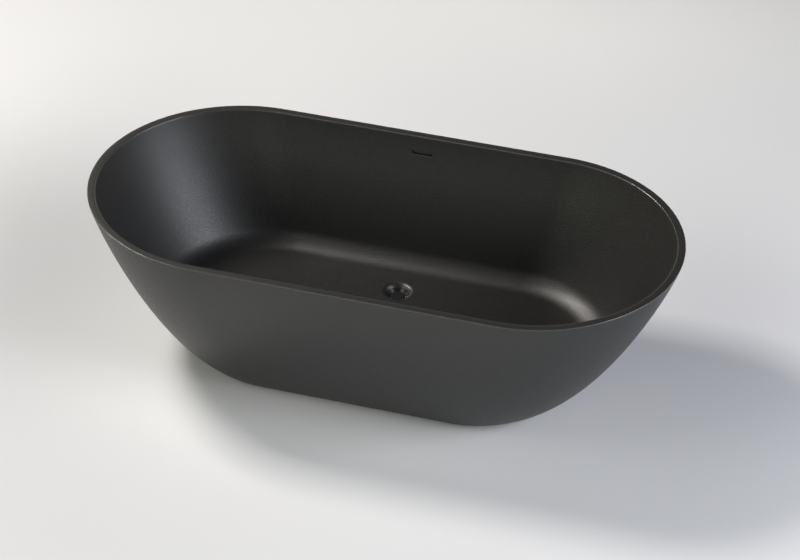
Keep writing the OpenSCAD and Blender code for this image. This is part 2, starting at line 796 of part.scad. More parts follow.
basin_shell();
outer_shell();
rim_bond();
baseboard();
leg_rail(-1);  // leg_rail_left
leg_rail(1);  // leg_rail_right
rail_screws();
rail_nuts();
lock_nuts();
skirt_brackets();
bracket_screws();
foot_stud(-1, -1);  // foot_stud_front_left
foot_stud(1, -1);  // foot_stud_front_right
foot_stud(-1, 1);  // foot_stud_back_left
foot_stud(1, 1);  // foot_stud_back_right
foot_pad(-1, -1);  // foot_pad_front_left
foot_pad(1, -1);  // foot_pad_front_right
foot_pad(-1, 1);  // foot_pad_back_left
foot_pad(1, 1);  // foot_pad_back_right
waste_flange();
flange_washer();
waste_washer();
overflow_banjo();
banjo_washer();
back_nut();
union_nut();
outlet_washer();
outlet_pipe();
plug_cap();
plug_seal();
plug_stem();
click_cartridge();
plug_spring();
overflow_gasket();
overflow_duct();
overflow_hose();
hose_clip(hose_finish - [0, 11, 0]);  // hose_clip_upper
hose_clip(hose_start + [0, 11, 0]);  // hose_clip_lower
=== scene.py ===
"""Freestanding bathtub: finished meshes, materials, light and camera round the fixed frame."""

import json
import math

import bmesh
import bpy
from bpy.props import FloatProperty, FloatVectorProperty, PointerProperty
from bpy.types import Operator, Panel, PropertyGroup
from mathutils import Matrix, Vector
import numpy as np

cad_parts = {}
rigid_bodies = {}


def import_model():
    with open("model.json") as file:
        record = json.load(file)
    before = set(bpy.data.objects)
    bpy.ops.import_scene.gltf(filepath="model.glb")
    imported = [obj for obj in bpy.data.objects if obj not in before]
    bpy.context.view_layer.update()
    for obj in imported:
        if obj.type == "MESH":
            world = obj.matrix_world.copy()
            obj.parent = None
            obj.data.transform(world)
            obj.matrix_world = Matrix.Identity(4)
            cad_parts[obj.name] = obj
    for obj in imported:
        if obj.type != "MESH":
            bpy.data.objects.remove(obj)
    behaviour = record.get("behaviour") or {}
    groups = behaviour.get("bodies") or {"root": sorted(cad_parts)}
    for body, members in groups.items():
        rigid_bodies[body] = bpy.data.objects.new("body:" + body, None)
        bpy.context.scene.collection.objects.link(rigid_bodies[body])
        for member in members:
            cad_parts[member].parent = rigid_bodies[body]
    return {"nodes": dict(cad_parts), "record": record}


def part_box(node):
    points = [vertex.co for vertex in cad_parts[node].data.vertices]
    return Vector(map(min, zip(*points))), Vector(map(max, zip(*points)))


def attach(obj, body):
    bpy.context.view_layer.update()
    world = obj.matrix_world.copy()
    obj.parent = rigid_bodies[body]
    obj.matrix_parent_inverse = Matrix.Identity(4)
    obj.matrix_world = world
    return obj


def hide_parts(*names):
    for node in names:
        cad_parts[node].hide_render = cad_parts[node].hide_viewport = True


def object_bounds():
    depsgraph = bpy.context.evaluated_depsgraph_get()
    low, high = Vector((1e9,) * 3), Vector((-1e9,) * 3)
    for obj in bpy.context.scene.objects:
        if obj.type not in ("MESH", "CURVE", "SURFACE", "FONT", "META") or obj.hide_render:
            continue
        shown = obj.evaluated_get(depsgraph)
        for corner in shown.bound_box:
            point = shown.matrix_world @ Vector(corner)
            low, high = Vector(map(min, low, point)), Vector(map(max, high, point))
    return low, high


bl_info = {
    "name": "Freestanding Bathtub",
    "version": (1, 0, 0),
    "blender": (4, 5, 0),
    "location": "3D View > Sidebar > Bathtub",
    "description": "Builds the finished surfaces of a freestanding bathtub round its packed frame",
    "category": "Object",
}

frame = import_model()
FRAME_LOW, FRAME_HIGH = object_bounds()
TUB = "tub"
MM = 0.001
SHARP = math.radians(32)


# --- Properties --------------------------------------------------------------------------

def size_property(name, description, default, low=0.0, high=3.0):
    return FloatProperty(
        name=name, description=description, default=default,
        min=low, max=high, unit="LENGTH", subtype="DISTANCE", precision=4,
    )


def colour_property(name, description, default):
    return FloatVectorProperty(
        name=name, description=description, default=default,
        size=3, min=0.0, max=1.0, subtype="COLOR",
    )


class TubShape(PropertyGroup):
    """Sizes of the body, which repeat the frame's."""
    base_length: size_property("Base length", "Length of the outer shell's foot", 1.008)
    base_width: size_property("Base width", "Width of the outer shell's foot", 0.482)
    rim_width: size_property("Rim width", "Whole wall, from face to face", 0.022)
    skin: size_property("Skin", "Thickness of one skin", 0.006)
    lip_depth: size_property("Lip depth", "Depth of the rim's lip above the joint", 0.010)
    floor_height: size_property("Floor height", "Height of the bathing floor", 0.118)
    floor_blend: size_property("Floor blend", "Radius between the floor and the walls", 0.042)
    edge_round: size_property("Edge rounding", "Radius on the rim's outer edge", 0.0022)
    inner_round: size_property("Inner rounding", "Radius on the rim's inner edge", 0.0030)
    skirt_return: size_property("Return", "Width of the outer shell's turned-in foot", 0.030)
    recess_radius: size_property("Recess radius", "Radius of the waste's recess", 0.041)
    recess_round: size_property("Recess rounding", "Radius on the recess's edge", 0.014)
    seat_radius: size_property("Seat radius", "Radius of the flange's seat", 0.031)
    seat_depth: size_property("Seat depth", "Depth of that seat under the floor", 0.024)
    tail_hole: size_property("Tail hole", "Radius of the hole for the waste's tail", 0.0216)
    waste_offset: size_property("Waste offset", "Waste's distance from the middle", 0.160)
    slot_length: size_property("Slot length", "Length of the overflow slot", 0.061)
    slot_height: size_property("Slot height", "Height of the overflow slot", 0.0095)
    slot_drop: size_property("Slot drop", "Slot's depth below the rim", 0.053)
    slot_round: size_property("Slot rounding", "Radius on the slot's edge", 0.0005)


class TubFinish(PropertyGroup):
    """Colours and grain of the finishes."""
    body: colour_property("Body", "Matte black of the two shells", (0.0135, 0.0135, 0.013))
    waste: colour_property("Waste", "Matte black of the flange and plug", (0.016, 0.016, 0.0165))
    grain_size: size_property("Grain size", "Size of the body's fine grain", 0.0034)
    grain_depth: size_property("Grain depth", "Height of the body's fine grain", 0.00050)
    floor: colour_property("Floor", "Pale floor under the tub", (0.80, 0.81, 0.84))


class Studio(PropertyGroup):
    """Camera and lights."""
    azimuth: FloatProperty(name="Azimuth", description="Camera's turn round the tub",
                           default=math.radians(15.776), subtype="ANGLE", unit="ROTATION")
    elevation: FloatProperty(name="Elevation", description="Camera's height above the horizon",
                             default=math.radians(35.594), subtype="ANGLE", unit="ROTATION")
    roll: FloatProperty(name="Roll", description="Camera's turn about its own line of sight",
                        default=math.radians(1.035), subtype="ANGLE", unit="ROTATION")
    distance: size_property("Distance", "Camera's distance from its target", 8.1954, high=40.0)
    target: FloatVectorProperty(name="Target", description="Point that the camera looks at",
                                default=(0.0606, -0.0306, 0.300), size=3, subtype="XYZ", unit="LENGTH")
    lens: FloatProperty(name="Lens", description="Focal length", default=131.29, unit="CAMERA")
    horizon: FloatProperty(name="Horizon", description="Strength of the light round the horizon",
                           default=0.73, min=0.0)


# --- Node trees --------------------------------------------------------------------------

class Wire:
    """An output socket. Arithmetic on it adds Math nodes to its tree."""

    def __init__(self, tree, socket):
        self.tree = tree
        self.socket = socket

    def math(self, operation, *others, first=None):
        node = self.tree.nodes.new("ShaderNodeMath")
        node.operation = operation
        values = [self, *others] if first is None else [first, self]
        for socket, value in zip(node.inputs, values):
            feed(self.tree, socket, value)
        return Wire(self.tree, node.outputs[0])

    def __add__(self, other):
        return self.math("ADD", other)

    __radd__ = __add__

    def __mul__(self, other):
        return self.math("MULTIPLY", other)

    __rmul__ = __mul__

    def __sub__(self, other):
        return self.math("SUBTRACT", other)

    def __rsub__(self, other):
        return self.math("SUBTRACT", first=other)

    def __truediv__(self, other):
        return self.math("DIVIDE", other)

    def __pow__(self, other):
        return self.math("POWER", other)

    def __gt__(self, other):
        return self.math("GREATER_THAN", other)

    def clamp(self):
        return self.math("MINIMUM", 1.0).math("MAXIMUM", 0.0)


def feed(tree, socket, value):
    """Links a wire to a socket, or sets the socket's own value."""
    if isinstance(value, Wire):
        tree.links.new(value.socket, socket)
    else:
        socket.default_value = value


class Tree:
    """Adds nodes to a node tree."""

    def __init__(self, tree):
        self.tree = tree

    def node(self, kind, sockets=None, output=0, stops=None, **settings):
        """Adds a node: its settings first, then its ramp's stops, then values or links."""
        node = self.tree.nodes.new(kind)
        for name, value in settings.items():
            setattr(node, name, value)
        if stops:
            ramp = node.color_ramp
            while len(ramp.elements) < len(stops):
                ramp.elements.new(1.0)
            for element, (place, colour) in zip(ramp.elements, stops):
                element.position = place
                element.color = colour
        for name, value in (sockets or {}).items():
            feed(self.tree, node.inputs[name], value)
        return Wire(self.tree, node.outputs[output])


def tint(colour, factor, limit=1.0):
    """A colour made lighter or darker by a factor."""
    return tuple(min(limit, part * factor) for part in colour)


class Finish(Tree):
    """A material, built round one Principled shader."""

    def __init__(self, name, colour, roughness, metallic=0.0, **constants):
        self.material = bpy.data.materials.new(name)
        self.material.use_nodes = True
        super().__init__(self.material.node_tree)
        self.shader = self.tree.nodes["Principled BSDF"]
        self.material.diffuse_color = (*colour, 1.0)
        self.shader.inputs["Base Color"].default_value = (*colour, 1.0)
        self.shader.inputs["Roughness"].default_value = roughness
        self.shader.inputs["Metallic"].default_value = metallic
        for socket, value in constants.items():
            self.shader.inputs[socket.replace("_", " ")].default_value = value
        self.place = self.node("ShaderNodeTexCoord", output="Object")

    def noise(self, size, detail=2.0, roughness=0.5):
        """Noise whose features are about the given size, in metres."""
        return self.node("ShaderNodeTexNoise", {
            "Vector": self.place, "Scale": 1.0 / size, "Detail": detail, "Roughness": roughness,
        })

    def shade(self, colour, mask, other):
        """A plain colour, or one from a node, turned towards a plain one by a mask."""
        start = colour if isinstance(colour, Wire) else (*colour, 1.0)
        return self.node("ShaderNodeMix", {6: start, 7: (*other, 1.0), 0: mask},
                         output=2, data_type="RGBA")

    def set(self, **links):
        """Feeds the shader's sockets, named with underscores for spaces."""
        for name, value in links.items():
            feed(self.tree, self.shader.inputs[name.replace("_", " ")], value)
        return self

    def bump(self, height, distance):
        """Raises the surface by a height's share of a distance."""
        normal = self.node("ShaderNodeBump", {
            "Height": height, "Distance": distance, "Strength": 1.0,
        })
        return self.set(Normal=normal)


# --- Shape of the body -------------------------------------------------------------------

class Body:
    """The tub's body: at each height its outline is two half circles and two straights."""
    SIDE = (1.2, 0.66)   # powers of the side's curve
    END = 0.58           # power of the end centres' curve

    def __init__(self, shape):
        self.s = shape
        self.height = FRAME_HIGH.z
        length = FRAME_HIGH.x - FRAME_LOW.x
        width = FRAME_HIGH.y - FRAME_LOW.y
        self.foot_half = shape.base_width / 2
        self.rim_half = width / 2
        self.foot_centre = (shape.base_length - shape.base_width) / 2
        self.rim_centre = (length - width) / 2

    def half_width(self, z):
        t = min(max(z / self.height, 0.0), 1.0)
        full = (1 - (1 - t) ** self.SIDE[0]) ** self.SIDE[1]
        return self.foot_half + (self.rim_half - self.foot_half) * full

    def end_centre(self, z):
        t = min(max(z / self.height, 0.0), 1.0)
        return self.foot_centre + (self.rim_centre - self.foot_centre) * t ** self.END

    def lean(self, z):
        step = 1 * MM
        return ((self.half_width(z) - self.half_width(z - step)) / step,
                (self.end_centre(z) - self.end_centre(z - step)) / step)

    def side_face(self, z, depth):
        """Distance from the centre line of a side's face that lies at a depth in the wall."""
        return self.half_width(z) - depth * math.sqrt(1 + self.lean(z)[0] ** 2)

    def ring(self, stations, z, depth=0.0, inset=0.0):
        """Points of the outline at height z, at a depth in the wall and taken in by an inset."""
        centre, cosine, sine = stations
        side, end = self.lean(z)
        wall = depth * np.sqrt(1 + (side + end * np.abs(cosine)) ** 2)
        reach = self.half_width(z) - wall - inset
        x = centre * self.end_centre(z) + reach * cosine
        y = reach * sine
        return np.stack([x, y, np.full_like(x, z)], axis=1)


def outline_stations(arc, straight):
    """Where an outline's points lie: the end centre's share, and the cosine and sine of the
    direction, for the right end, the back, the left end and the front in turn."""
    j = np.arange(2 * (arc + straight))
    turn = np.clip(j / arc, 0, 1) + np.clip((j - arc - straight) / arc, 0, 1)
    angle = math.pi * (turn - 0.5)
    centre = 1 - 2 * np.clip((j - arc) / straight, 0, 1)
    centre += 2 * np.clip((j - 2 * arc - straight) / straight, 0, 1)
    return centre, np.cos(angle), np.sin(angle)


def ring_faces(start, other, count):
    """Quads between two rings of points, given by their first numbers."""
    return [(start + i, start + (i + 1) % count, other + (i + 1) % count, other + i)
            for i in range(count)]


def quarter(steps):
    """Steps of a quarter round: what is left to 1 of the cosine, and of the sine."""
    for k in range(steps + 1):
        turn = math.radians(90) * k / steps
        yield 1 - math.cos(turn), 1 - math.sin(turn)


def new_piece(name, vertices, faces, material, edge=None):
    """A mesh object at the origin, smooth but for its sharp edges, with faces that point out.
    The edge values say how far each vertex belongs to a polished edge, which is also painted lighter as
    a highlight."""
    mesh = bpy.data.meshes.new(name)
    mesh.from_pydata([tuple(v) for v in vertices], [], faces)
    if edge is not None:
        mesh.attributes.new("edge", "FLOAT", "POINT").data.foreach_set("value", edge)
    tidy = bmesh.new()
    tidy.from_mesh(mesh)
    bmesh.ops.remove_doubles(tidy, verts=tidy.verts, dist=0.001 * MM)
    loose = [v for v in tidy.verts if not v.link_faces]
    bmesh.ops.delete(tidy, geom=loose, context="VERTS")
    bmesh.ops.recalc_face_normals(tidy, faces=tidy.faces)
    if tidy.calc_volume(signed=True) < 0:
        bmesh.ops.reverse_faces(tidy, faces=tidy.faces)
    tidy.to_mesh(mesh)
    tidy.free()
    mesh.shade_smooth()
    mesh.set_sharp_from_angle(angle=SHARP)
    mesh.materials.append(material)
    piece = bpy.data.objects.new(name, mesh)
    bpy.context.scene.collection.objects.link(piece)
    return piece


# --- Basin -------------------------------------------------------------------------------

class Basin:
    """The inner shell as one closed skin of rings, from the waste's hole over the rim and back."""
    ARC = 96              # columns round an end
    STRAIGHT = 120        # columns along a side
    CONE_RINGS = 4
    CONE_EDGE_RINGS = 5
    # Edge value on the recess's cone: real polish, and a lighter colour painted on as a highlight
    CONE_POLISH_AND_SHEEN = 0.3
    FLOOR_RINGS = 13
    ROUND_RINGS = 14      # round between floor and wall, and on the skin's back
    BACK_ROUND_RINGS = 10
    RIM_RINGS = 6         # each of the rim's rounded edges
    WALL_RINGS = 44       # below the slot's block, in front and on the back
    BACK_WALL_RINGS = 20
    ABOVE_RINGS = 5       # above it
    SLOT_COLUMNS = 7      # columns on each side of the slot's middle that its block takes up
    SLOT_ROWS = 4
    SLOT_ROUND_RINGS = 4
    SLOT_MARGIN = 0.010   # wall above and below the slot inside that block

    def __init__(self, shape):
        self.s = shape
        self.body = Body(shape)
        self.stations = outline_stations(self.ARC, self.STRAIGHT)
        self.count = 2 * (self.ARC + self.STRAIGHT)
        self.rings = []
        self.edges = []
        self.slot_z = self.body.height - shape.slot_drop
        self.block = shape.slot_height / 2 + self.SLOT_MARGIN
        self.foot = self.body.ring(self.stations, shape.floor_height, shape.rim_width, shape.floor_blend)
        self.directions = self.foot[:, :2] - np.array([0.0, shape.waste_offset])
        self.directions /= np.linalg.norm(self.directions, axis=1)[:, None]

    def add(self, points, edge=0.0):
        self.rings.append(points)
        self.edges.append(edge)
        return len(self.rings) - 1

    def wall(self, z, depth=0.0, inset=0.0, edge=0.0):
        return self.add(self.body.ring(self.stations, z, depth, inset), edge)

    def circle(self, radius, z):
        """A ring round the waste."""
        points = np.zeros((self.count, 3))
        points[:, 0] = radius * self.directions[:, 0]
        points[:, 1] = self.s.waste_offset + radius * self.directions[:, 1]
        points[:, 2] = z
        return points

    def wall_heights(self, low, high, rings):
        """Heights up a wall, with the slot's block at four even rows."""
        near, far = self.slot_z - self.block, self.slot_z + self.block
        below = [low + (near - low) * (i / rings) ** 1.15 for i in range(rings)]
        middle = [near + (far - near) * i / self.SLOT_ROWS for i in range(self.SLOT_ROWS)]
        above = [far + (high - far) * i / self.ABOVE_RINGS for i in range(self.ABOVE_RINGS + 1)]
        return below + middle + above

    def build(self):
        self.build_recess()
        self.build_floor()
        self.build_front()
        self.build_rim()
        self.build_back()

    def build_recess(self):
        """The waste's hole, its seat, the cone and the cone's rounded edge."""
        s = self.s
        floor, drop, polish_and_sheen = s.floor_height, s.recess_radius - s.seat_radius, self.CONE_POLISH_AND_SHEEN
        for radius, z in [
            (s.tail_hole, floor - s.seat_depth),
            (s.seat_radius, floor - s.seat_depth),
            (s.seat_radius, floor - drop - 0.4 * MM),
            (s.seat_radius + 0.3 * MM, floor - drop),
        ]:
            self.add(self.circle(radius, z))
        # The cone's rings get the edge value, so they are painted lighter as a highlight as well as
        # polished
        for k in range(1, self.CONE_RINGS):
            climb = 0.6 * k / self.CONE_RINGS
            self.add(self.circle(s.seat_radius + drop * climb, floor - drop * (1 - climb)), polish_and_sheen)
        centre = s.recess_radius + s.recess_round * math.tan(math.radians(22.5))
        for k in range(self.CONE_EDGE_RINGS + 1):
            left = 1 - k / self.CONE_EDGE_RINGS
            turn = math.radians(45) * left
            radius = centre - s.recess_round * math.sin(turn)
            self.add(self.circle(radius, floor - s.recess_round * (1 - math.cos(turn))), polish_and_sheen * left)

    def build_floor(self):
        """The flat floor, from a circle to the outline."""
        s = self.s
        inner = self.circle(s.recess_radius + 8 * MM, s.floor_height)
        for k in range(self.FLOOR_RINGS):
            share = (k / self.FLOOR_RINGS) ** 1.4
            self.add(inner * (1 - share) + self.foot * share)

    def build_front(self):
        """The round between floor and wall, and the wall's inner face."""
        s = self.s
        for rise, inset in quarter(self.ROUND_RINGS):
            self.wall(s.floor_height + s.floor_blend * rise, s.rim_width, s.floor_blend * inset)
        low, high = s.floor_height + s.floor_blend, self.body.height - s.inner_round
        for z in self.wall_heights(low, high, self.WALL_RINGS)[1:]:
            number = self.wall(z, s.rim_width)
            if abs(z - (self.slot_z - self.block)) < 1e-7:
                self.front_row = number

    def build_rim(self):
        """The rim with its two rounded edges, and its lip down to the joint."""
        s, top = self.s, self.body.height
        inner = list(quarter(self.RIM_RINGS))[1:]
        # Rings of both rounded edges get edge 1.0: real polish, and a lighter colour painted on as a
        # highlight
        for number, (along, down) in enumerate(inner, 1):
            edge = 1.0 if number < self.RIM_RINGS else 0.0
            self.wall(top - s.inner_round * down, s.rim_width - s.inner_round * along, edge=edge)
        outer = list(quarter(self.RIM_RINGS))[::-1]
        for number, (along, down) in enumerate(outer):
            edge = 1.0 if number else 0.0
            self.wall(top - s.edge_round * down, s.edge_round * along, edge=edge)
        joint = top - s.lip_depth
        self.wall((joint + top - s.edge_round) / 2)
        self.wall(joint)

    def build_back(self):
        """The face of the joint, the back of the skin and the underside."""
        s = self.s
        floor, drop = s.floor_height, s.recess_radius - s.seat_radius
        under, joint = floor - s.skin, self.body.height - s.lip_depth
        back, blend = s.rim_width - s.skin, s.floor_blend + s.skin
        for z in reversed(self.wall_heights(under + blend, joint, self.BACK_WALL_RINGS)):
            number = self.wall(z, back)
            if abs(z - (self.slot_z + self.block)) < 1e-7:
                self.back_row = number
        for rise, inset in list(quarter(self.BACK_ROUND_RINGS))[-2::-1]:
            self.wall(under + blend * rise, back, blend * inset)
        cup = s.seat_radius + s.skin
        for radius, z in [
            (s.recess_radius + s.skin, under),
            (cup, floor - drop - s.skin),
            (cup, floor - s.seat_depth - s.skin),
            (s.tail_hole, floor - s.seat_depth - s.skin),
        ]:
            self.add(self.circle(radius, z))

    def block_loop(self, row, upwards):
        """Numbers of the vertices round the slot's block, from its lower right corner."""
        middle = self.ARC + self.STRAIGHT // 2
        first, last = middle - self.SLOT_COLUMNS, middle + self.SLOT_COLUMNS
        step = 1 if upwards else -1
        rows = [row + step * i for i in range(self.SLOT_ROWS + 1)]
        low = [(rows[0], c) for c in range(first, last)]
        left = [(r, last) for r in rows[:-1]]
        high = [(rows[-1], c) for c in range(last, first, -1)]
        right = [(r, first) for r in rows[:0:-1]]
        taken = {(min(r, r + step), c) for r in rows[:-1] for c in range(first, last)}
        return [r * self.count + c for r, c in low + left + high + right], taken

    def slot_outline(self, grow):
        """Points of the slot's outline that answer the block's loop, as X and Z."""
        radius = self.s.slot_height / 2
        straight = self.s.slot_length / 2 - radius
        sides = 2 * self.SLOT_COLUMNS - 4
        ends = self.SLOT_ROWS + 4
        low = [(straight * (1 - 2 * i / sides), -radius - grow) for i in range(sides + 1)]
        left = [(-straight - (radius + grow) * math.sin(math.pi * i / ends),
                 -(radius + grow) * math.cos(math.pi * i / ends)) for i in range(1, ends)]
        half = low + left
        whole = half + [(-x, -z) for x, z in half]
        return [(x, self.slot_z + z) for x, z in whole[-2:] + whole[:-2]]

    def slot_point(self, x, z, depth):
        return (x, self.body.side_face(z, depth), z)

    def faces(self, vertices):
        """Quads of the skin, with the slot's block cut out and the slot's tunnel put in."""
        front, front_taken = self.block_loop(self.front_row, True)
        back, back_taken = self.block_loop(self.back_row + self.SLOT_ROWS, False)
        taken = front_taken | back_taken
        total = len(self.rings)
        quads = []
        for row in range(total):
            following = ((row + 1) % total) * self.count
            for column, quad in enumerate(ring_faces(row * self.count, following, self.count)):
                if (row, column) not in taken:
                    quads.append(quad)
        s = self.s
        loops = []
        for share in (0.35, 0.7):
            loop = []
            for number, (x, z) in zip(front, self.slot_outline(s.slot_round)):
                from_x, _, from_z = vertices[number]
                loop.append(self.slot_point(from_x + (x - from_x) * share,
                                            from_z + (z - from_z) * share, s.rim_width))
            loops.append(loop)
        for inward, grow in quarter(self.SLOT_ROUND_RINGS):
            depth = s.rim_width - s.slot_round * inward
            outline = self.slot_outline(s.slot_round * grow)
            loops.append([self.slot_point(x, z, depth) for x, z in outline])
        loops.append([self.slot_point(x, z, s.rim_width - s.skin) for x, z in self.slot_outline(0.0)])
        previous = front
        for loop in loops:
            start = len(vertices)
            vertices.extend(loop)
            numbers = list(range(start, start + len(loop)))
            quads += self.bridge(previous, numbers)
            previous = numbers
        quads += self.bridge(previous, back)
        return quads

    @staticmethod
    def bridge(one, other):
        count = len(one)
        return [(one[i], one[(i + 1) % count], other[(i + 1) % count], other[i]) for i in range(count)]

    def mesh(self):
        self.build()
        vertices = [tuple(p) for ring in self.rings for p in ring]
        edge = [value for value in self.edges for _ in range(self.count)]
        faces = self.faces(vertices)
        return vertices, faces, edge + [0.0] * (len(vertices) - len(edge))


def matte_black(finish):
    """Fine-grained matte black of the body, a little polished along the rim's edges and on the recess's
    cone, where a lighter colour is painted on as a highlight.
    """
    body = tuple(finish.body)
    f = Finish("matte_black_grain", body, 0.5, Specular_IOR_Level=0.68)
    grain = f.noise(finish.grain_size, detail=1.5, roughness=0.6)
    fine = f.noise(finish.grain_size * 0.4, detail=1.0)
    broad = f.noise(0.35, detail=2.0)
    edge = f.node("ShaderNodeAttribute", output="Fac", attribute_name="edge")
    tone = (grain - 0.5) * 0.9 + (broad - 0.5) * 0.25 + 0.5
    grained = f.shade(tint(body, 0.75), tone.clamp(), tint(body, 1.3))
    # The edge value lightens the colour 3.2 times: a painted highlight along the rim's rounded edges and
    # the recess's cone
    f.set(Base_Color=f.shade(grained, edge, tint(body, 3.2)))
    rough = 0.43 + (grain - 0.5) * 0.45 + (broad - 0.5) * 0.05
    # The lower roughness along the same edges is real polish
    f.set(Roughness=rough * (1 - edge * 0.6))
    return f.bump(grain + fine * 0.4, finish.grain_depth).material


def body_material(scene):
    """The one finish that both shells share."""
    return bpy.data.materials.get("matte_black_grain") or matte_black(scene.tub_finish)


class BATHTUB_OT_basin(Operator):
    """Builds the inner shell, with its rim, recess and overflow slot"""
    bl_idname = "bathtub.basin"
    bl_label = "Basin"

    def execute(self, context):
        scene = context.scene
        vertices, faces, edge = Basin(scene.tub_shape).mesh()
        piece = new_piece("basin", vertices, faces, body_material(scene), edge=edge)
        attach(piece, TUB)
        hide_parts("basin_shell")
        return {"FINISHED"}


# --- Outer shell -------------------------------------------------------------------------

class ShellTree(Tree):
    """Geometry nodes that bend a grid into the outer shell by the body's rule."""
    INPUTS = ("Height", "Foot Half Width", "Rim Half Width", "Foot Centre", "Rim Centre",
              "Gap", "Joint Height", "Skin", "Return")
    ARC = Basin.ARC
    STRAIGHT = Basin.STRAIGHT
    UP = 56         # rows up the outer face
    DOWN = 32       # rows down the inner face
    RETURN = 5      # rows of the joint's face, the turned-in foot and the first row again
    CROWD = 1.5     # how much closer the rows lie near the foot

    def __init__(self, material):
        super().__init__(bpy.data.node_groups.new("outer_shell_by_rule", "GeometryNodeTree"))
        interface = self.tree.interface
        interface.new_socket("Geometry", in_out="OUTPUT", socket_type="NodeSocketGeometry")
        self.ids = {
            name: interface.new_socket(name, in_out="INPUT", socket_type="NodeSocketFloat").identifier
            for name in self.INPUTS
        }
        source = self.tree.nodes.new("NodeGroupInput")
        self.size = {name: Wire(self.tree, source.outputs[name]) for name in self.INPUTS}
        self.make(material)

    def half_width(self, z):
        t = (z / self.size["Height"]).clamp()
        full = (1 - (1 - t) ** Body.SIDE[0]) ** Body.SIDE[1]
        foot = self.size["Foot Half Width"]
        return foot + (self.size["Rim Half Width"] - foot) * full

    def end_centre(self, z):
        t = (z / self.size["Height"]).clamp()
        foot = self.size["Foot Centre"]
        return foot + (self.size["Rim Centre"] - foot) * t ** Body.END

    def make(self, material):
        """Rows run up the outer face, over the joint, down the inner face and round the foot."""
        size = self.size
        columns = 2 * (self.ARC + self.STRAIGHT) + 1
        rows = self.UP + self.DOWN + self.RETURN
        grid = self.node("GeometryNodeMeshGrid", {
            "Size X": 1.0, "Size Y": 1.0, "Vertices X": columns, "Vertices Y": rows,
        }, output="Mesh")
        index = self.node("GeometryNodeInputIndex")
        column = (index / rows + 0.0001).math("FLOOR")
        row = index - column * rows

        arc, straight = self.ARC, self.STRAIGHT
        turn = (column / arc).clamp() + ((column - arc - straight) / arc).clamp()
        angle = math.pi * (turn - 0.5)
        share = 1 - 2 * ((column - arc) / straight).clamp()
        share = share + 2 * ((column - 2 * arc - straight) / straight).clamp()
        cosine, sine = angle.math("COSINE"), angle.math("SINE")

        up = (row / self.UP).clamp() ** self.CROWD
        across = (row - self.UP).clamp()
        down = ((row - self.UP - 1) / self.DOWN).clamp()
        inward = (row - self.UP - 1 - self.DOWN).clamp()
        drop = (row - self.UP - 2 - self.DOWN).clamp()
        closing = (row - self.UP - 3 - self.DOWN).clamp()
        gap, joint, skin = size["Gap"], size["Joint Height"], size["Skin"]
        rising = gap + (joint - gap) * up
        falling = gap + skin + (joint - gap - skin) * (1 - down) ** self.CROWD - skin * drop
        inside = row > self.UP + 0.5
        height = rising + (falling - rising) * inside
        form = height + (gap - height) * inward
        depth = skin * across * (1 - inward)
        inset = size["Return"] * inward * (1 - closing)

        step = 1 * MM
        side_lean = (self.half_width(form) - self.half_width(form - step)) / step
        end_lean = (self.end_centre(form) - self.end_centre(form - step)) / step
        slant = (1 + (side_lean + end_lean * cosine.math("ABSOLUTE")) ** 2).math("SQRT")
        reach = self.half_width(form) - depth * slant - inset
        place = self.node("ShaderNodeCombineXYZ", {
            "X": share * self.end_centre(form) + reach * cosine, "Y": reach * sine, "Z": height,
        })
        bent = self.node("GeometryNodeSetPosition", {"Geometry": grid, "Position": place})
        welded = self.node("GeometryNodeMergeByDistance", {"Geometry": bent, "Distance": 0.02 * MM})
        painted = self.node("GeometryNodeSetMaterial", {
            "Geometry": self.node("GeometryNodeRealizeInstances", {"Geometry": welded}),
            "Material": material,
        })
        result = self.tree.nodes.new("NodeGroupOutput")
        feed(self.tree, result.inputs[0], painted)


def grown(name, tree, sizes, material):
    """The plain mesh that a geometry tree makes, as a piece."""
    holder = bpy.data.objects.new(name + "_source", bpy.data.meshes.new(name + "_source"))
    bpy.context.scene.collection.objects.link(holder)
    modifier = holder.modifiers.new("grow", "NODES")
    modifier.node_group = tree.tree
    for label, value in sizes.items():
        modifier[tree.ids[label]] = value
    graph = bpy.context.evaluated_depsgraph_get()
    made = bpy.data.meshes.new_from_object(holder.evaluated_get(graph))
    holder.modifiers.remove(modifier)
    bpy.data.objects.remove(holder)
    if not made.polygons:
        raise RuntimeError(f"the tree for {name} made no faces")
    vertices = [v.co.copy() for v in made.vertices]
    faces = [tuple(p.vertices) for p in made.polygons]
    return new_piece(name, vertices, faces, material)


class BATHTUB_OT_outer_shell(Operator):
    """Builds the outer shell from its rule"""
    bl_idname = "bathtub.outer_shell"
    bl_label = "Outer Shell"

    def execute(self, context):
        scene = context.scene
        shape = scene.tub_shape
        body = Body(shape)
        material = body_material(scene)
        piece = grown("outer_skin", ShellTree(material), {
            "Height": body.height,
            "Foot Half Width": body.foot_half,
            "Rim Half Width": body.rim_half,
            "Foot Centre": body.foot_centre,
            "Rim Centre": body.rim_centre,
            "Gap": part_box("outer_shell")[0].z,
            "Joint Height": body.height - shape.lip_depth,
            "Skin": shape.skin,
            "Return": shape.skirt_return,
        }, material)
        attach(piece, TUB)
        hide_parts("outer_shell")
        return {"FINISHED"}


# --- Finishes of the frame's own pieces --------------------------------------------------

def metal(name, colour, roughness, grain=4 * MM):
    """Bare or plated metal with a fine grain and uneven tarnish."""
    f = Finish(name, colour, roughness, metallic=1.0)
    fine = f.noise(grain, detail=4.0, roughness=0.6)
    cloud = f.noise(0.03, detail=3.0)
    f.set(Base_Color=f.shade(tint(colour, 0.78), cloud, tint(colour, 1.12)))
    f.set(Roughness=roughness + (fine - 0.5) * 0.18 + (cloud - 0.5) * 0.12)
    return f.bump(fine, 0.03 * MM).material


